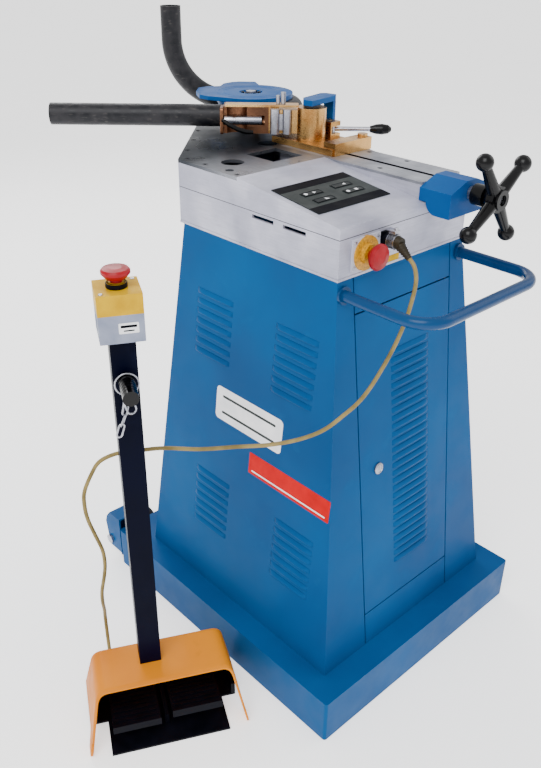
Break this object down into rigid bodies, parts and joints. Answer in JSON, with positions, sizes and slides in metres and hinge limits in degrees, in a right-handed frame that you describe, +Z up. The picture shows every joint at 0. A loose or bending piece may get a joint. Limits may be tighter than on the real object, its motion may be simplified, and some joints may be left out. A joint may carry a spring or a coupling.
{
  "type": "tube bender",
  "caption": "Electric rotary tube bender on a tapered floor cabinet with a slide and star handwheel, a bent tube in its former, and a corded foot pedal station.",
  "frame": {"origin": "centre of the base tray on the floor", "axes": "X is the machine's width, positive to the right for someone facing the door; Y runs from the handwheel end to the back; Z is up"},
  "size_m": [0.9406, 0.9245, 1.201],
  "materials": {
    "blue_paint": "semi-gloss",
    "silver_cast": "satin",
    "deck_steel": "ground, oiled",
    "bright_steel": "machined",
    "dark_steel": "mill scale",
    "brass_block": "milled",
    "bronze_block": "worn",
    "bright_blue": "gloss",
    "black_plastic": "glossy",
    "matte_black": "matte",
    "overlay": "matt film",
    "red_plastic": "glossy",
    "yellow_plastic": "semi-gloss",
    "grey_plastic": "satin",
    "orange_paint": "satin",
    "navy_paint": "satin",
    "motor_paint": "satin",
    "wheel_rubber": "matte",
    "cord_jacket": "satin",
    "boot_rubber": "matte"
  },
  "bodies": {
    "machine": {"base_tray": "blue_paint", "wheel_brackets": "blue_paint", "rear_axle": "bright_steel", "left_side_shell": "blue_paint", "right_side_shell": "blue_paint", "back_panel": "blue_paint", "front_panels": "blue_paint", "hinge_pins": "dark_steel", "push_handle": "blue_paint", "head_lower_frame": "silver_cast", "head_cover": "silver_cast", "deck_plate": "deck_steel", "deck_screws": "dark_steel", "control_overlay": "overlay", "estop_ring": "yellow_plastic", "front_socket": "matte_black", "cord_plug": "bright_steel", "plug_boot": "boot_rubber", "drive_motor": "motor_paint", "gearbox": "motor_paint", "slide_bed": "silver_cast", "guide_rails": "bright_steel", "screw_housing": "bright_blue", "electrical_box": "grey_plastic", "pedal_base": "matte_black", "pedal_hood": "orange_paint", "pedal_pin": "bright_steel", "station_post": "navy_paint", "station_box": "grey_plastic", "station_lid": "yellow_plastic", "control_cord": "cord_jacket"},
    "left_wheel": {"left_wheel": "wheel_rubber"},
    "right_wheel": {"right_wheel": "wheel_rubber"},
    "door": {"door": "blue_paint"},
    "door_lock": {"door_lock": "bright_steel"},
    "start_key": {"start_key": "overlay"},
    "reverse_key": {"reverse_key": "overlay"},
    "angle_key": {"angle_key": "overlay"},
    "stop_key": {"stop_key": "overlay"},
    "estop_button": {"estop_button": "red_plastic"},
    "former": {"bending_shaft": "bright_steel", "former": "bright_blue", "former_hook": "bright_blue", "workpiece_tube": "dark_steel"},
    "carriage": {"carriage": "brass_block", "lead_nut": "bronze_block", "clamp_block": "brass_block"},
    "handwheel": {"lead_screw": "bright_steel", "handwheel": "black_plastic"},
    "pin": {"pivot_pin": "dark_steel", "pin_handle": "bright_blue"},
    "die": {"die_holder": "brass_block", "counter_die": "bronze_block", "die_pins": "bright_steel"},
    "clamp": {"clamp_lever": "bright_steel", "lever_knob": "black_plastic"},
    "left_pedal": {"left_pedal": "matte_black"},
    "right_pedal": {"right_pedal": "matte_black"},
    "station_button": {"station_button": "red_plastic"},
    "lock_pin": {"lock_pin": "black_plastic"}
  },
  "joints": [
    {"name": "left_wheel_spin", "type": "hinge", "parent": "machine", "child": "left_wheel", "pos_m": [-0.197, 0.381, 0.046], "axis": [1, 0, 0], "continuous": true},
    {"name": "right_wheel_spin", "type": "hinge", "parent": "machine", "child": "right_wheel", "pos_m": [0.197, 0.381, 0.046], "axis": [1, 0, 0], "continuous": true},
    {"name": "door_hinge", "type": "hinge", "parent": "machine", "child": "door", "pos_m": [0.12, -0.23522, 0.47639], "axis": [0, 0.1222, 0.9925], "range_deg": [0, 110], "deforming": ["control_cord"]},
    {"name": "door_lock_turn", "type": "hinge", "parent": "door", "child": "door_lock", "pos_m": [-0.08, -0.24118, 0.47713], "axis": [0, -0.9925, 0.1222], "range_deg": [0, 90]},
    {"name": "start_key_press", "type": "slide", "parent": "machine", "child": "start_key", "axis": [0, 0.128, -0.9918], "range_m": [0, 0.001], "stiffness_N_per_m": 1000, "springref_m": -0.001},
    {"name": "reverse_key_press", "type": "slide", "parent": "machine", "child": "reverse_key", "axis": [0, 0.128, -0.9918], "range_m": [0, 0.001], "stiffness_N_per_m": 1000, "springref_m": -0.001},
    {"name": "angle_key_press", "type": "slide", "parent": "machine", "child": "angle_key", "axis": [0, 0.128, -0.9918], "range_m": [0, 0.001], "stiffness_N_per_m": 1000, "springref_m": -0.001},
    {"name": "stop_key_press", "type": "slide", "parent": "machine", "child": "stop_key", "axis": [0, 0.128, -0.9918], "range_m": [0, 0.001], "stiffness_N_per_m": 1000, "springref_m": -0.001},
    {"name": "estop_press", "type": "slide", "parent": "machine", "child": "estop_button", "axis": [0, 1, 0], "range_m": [0, 0.005], "stiffness_N_per_m": 800, "springref_m": -0.004},
    {"name": "former_turn", "type": "hinge", "parent": "machine", "child": "former", "pos_m": [0.108, 0.322, 1], "axis": [0, 0, 1], "range_deg": [-120, 0]},
    {"name": "carriage_slide", "type": "slide", "parent": "machine", "child": "carriage", "axis": [0, 1, 0], "range_m": [-0.1, 0]},
    {"name": "handwheel_turn", "type": "hinge", "parent": "machine", "child": "handwheel", "pos_m": [0.1, -0.294, 0.958], "axis": [0, 1, 0], "range_deg": [-10, 7210]},
    {"name": "pin_lift", "type": "slide", "parent": "carriage", "child": "pin", "axis": [0, 0, 1], "range_m": [0, 0.07]},
    {"name": "die_swing", "type": "hinge", "parent": "carriage", "child": "die", "pos_m": [0.1, 0.135, 1.01], "axis": [0, 0, 1], "range_deg": [0, 30]},
    {"name": "clamp_turn", "type": "hinge", "parent": "carriage", "child": "clamp", "pos_m": [0.146, 0.127, 0.997], "axis": [0, 0, 1], "range_deg": [-15, 45]},
    {"name": "left_pedal_press", "type": "hinge", "parent": "machine", "child": "left_pedal", "pos_m": [-0.49784, 0.00597, 0.024], "axis": [0.891, -0.454, 0], "range_deg": [0, 8], "stiffness_Nm_per_rad": 8, "springref_deg": -5.73},
    {"name": "right_pedal_press", "type": "hinge", "parent": "machine", "child": "right_pedal", "pos_m": [-0.39537, -0.04624, 0.024], "axis": [0.891, -0.454, 0], "range_deg": [0, 10], "stiffness_Nm_per_rad": 8, "springref_deg": -5.73},
    {"name": "station_stop_press", "type": "slide", "parent": "machine", "child": "station_button", "axis": [0, 0, -1], "range_m": [0, 0.005], "stiffness_N_per_m": 800, "springref_m": -0.004},
    {"name": "lock_pin_pull", "type": "slide", "parent": "machine", "child": "lock_pin", "axis": [-0.454, -0.891, 0], "range_m": [0, 0.045]}
  ],
  "couplings": [
    {"joint": "handwheel_turn", "follows": "carriage_slide", "rad_per_m": -1256.6}
  ]
}
